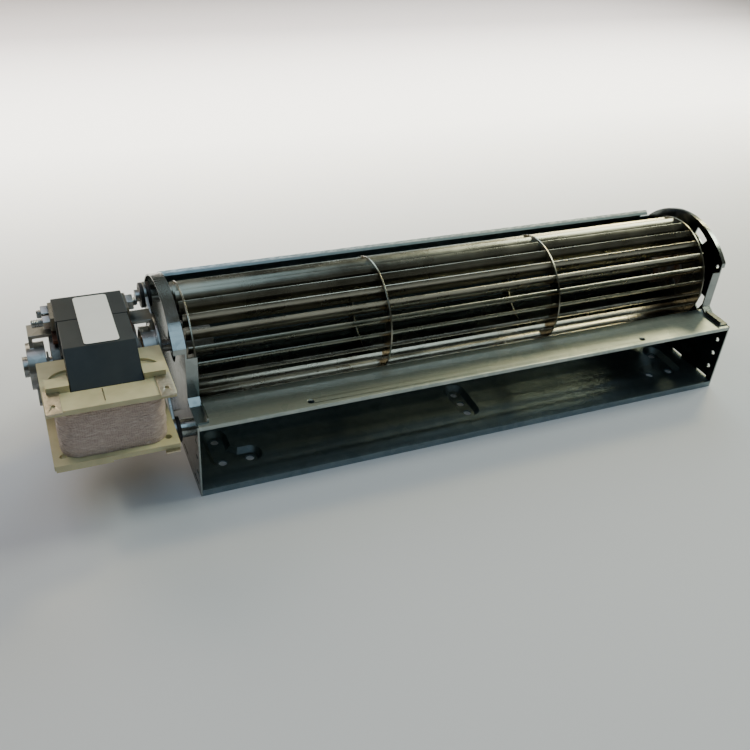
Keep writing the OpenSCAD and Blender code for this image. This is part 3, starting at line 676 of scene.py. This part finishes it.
copper = plain_metal("copper", (0.09, 0.045, 0.03), 0.45)
iron = plain_metal("rotor_iron", (0.07, 0.068, 0.065), 0.42)
steel = plain_metal("bright_steel", (0.3, 0.3, 0.29), 0.27)
black_steel = plain_metal("black_oxide", (0.03, 0.03, 0.032), 0.4)
hub = plain_metal("hub_metal", (0.12, 0.12, 0.11), 0.4)
dusty_hub = stained_metal("hub_dusty", (0.18, 0.165, 0.14), (0.13, 0.07, 0.03), 0.4)
rubber = moulded("black_rubber", (0.015, 0.015, 0.016), (0.008, 0.008, 0.009), 0.55)
felt = moulded("felt", (0.42, 0.38, 0.3), (0.3, 0.27, 0.21), 0.9)
washer = moulded("washer_plastic", (0.5, 0.47, 0.4), (0.4, 0.37, 0.31))
paper = moulded("white_label", (0.86, 0.86, 0.85), (0.82, 0.82, 0.81), 0.4)
tape = wound_tape("coil_tape", (0.48, 0.37, 0.32), (0.33, 0.245, 0.21), (0.68, 0.58, 0.52))

SIDE_PLATES = ("side_plate_left", "side_plate_right")
WHEEL_SHEETS = ("wheel_blades", "wheel_disc_left", "wheel_disc_right", "wheel_ring_left", "wheel_ring_right")
PACKETS = ("stator_pole_stack", "stator_coil_stack")
SHADING_RINGS = ("shading_ring_top", "shading_ring_bottom")
TERMINALS = ("terminal_left", "terminal_right", "terminal_lower")
BRACKETS = ("bearing_bracket_left", "bearing_bracket_right", "motor_mount_bracket")
SHAFTS = ("motor_shaft", "stub_shaft")
RUBBERS = ("end_bearing_rubber", "mount_rubber_upper", "mount_rubber_lower")
SMALL_FASTENERS = ("mount_screws", "stack_nuts", "earth_nut", "hub_rivets", "mount_rivets")

assign(sheet, "shelf")
assign(plate, *SIDE_PLATES)
assign(shaded_duct, "scroll_shell")
assign(wheel, *WHEEL_SHEETS)
assign(hub, "wheel_hub_left", "rotor_cage")
assign(dusty_hub, "wheel_hub_right")
assign(zinc, "stack_screws", "earth_screw", *SMALL_FASTENERS)
assign(black_steel, "hub_set_screw")
assign(steel, *SHAFTS)
assign(stack, *PACKETS)
assign(iron, "rotor_core")
assign(copper, "coil_winding", *SHADING_RINGS)
assign(cream, "coil_former")
assign(tape, "coil_tape")
assign(tinned, *TERMINALS)
assign(bracket, "bearing_cap", *BRACKETS)
assign(bronze, "bearing_bush_left", "bearing_bush_right", "end_bearing_bush")
assign(felt, "oil_felt_left", "oil_felt_right")
assign(washer, "thrust_washer_left", "thrust_washer_right")
assign(rubber, *RUBBERS)
assign(paper, "rating_label")


# Edges

smoothing = make_smoothing()
round_edges(0.4, *SIDE_PLATES, segments=3)
round_edges(0.25, "scroll_shell", segments=3)
round_edges(0.22, "shelf")
round_edges(0.12, *WHEEL_SHEETS)
round_edges(0.35, "coil_former", *PACKETS)
round_edges(0.3, "wheel_hub_left", "wheel_hub_right", "bearing_cap", *RUBBERS, *SMALL_FASTENERS)
round_edges(0.25, *BRACKETS, *SHAFTS)
round_edges(0.18, *TERMINALS, *SHADING_RINGS)


# Pieces in place of solids

# The two long screws stand a half-turn from each other about the shaft
SCREW_Y = 8.5 * MM
SCREW_Z = 21.3 * MM
SCREW_RADIUS = 2 * MM
screw_centres = [(AXIS_Y + side * SCREW_Y, AXIS_Z + side * SCREW_Z) for side in (-1, 1)]

earth_lo, earth_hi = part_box("earth_screw")
earth_centre = ((earth_lo.y + earth_hi.y) / 2, (earth_lo.z + earth_hi.z) / 2)
earth_radius = (earth_hi.z - earth_lo.z) / 2

make_coil_tape(tape)
make_label(paper)
make_threaded_rods("threaded_screws", "stack_screws", screw_centres, SCREW_RADIUS, zinc)
make_threaded_rods("threaded_earth", "earth_screw", [earth_centre], earth_radius, zinc)
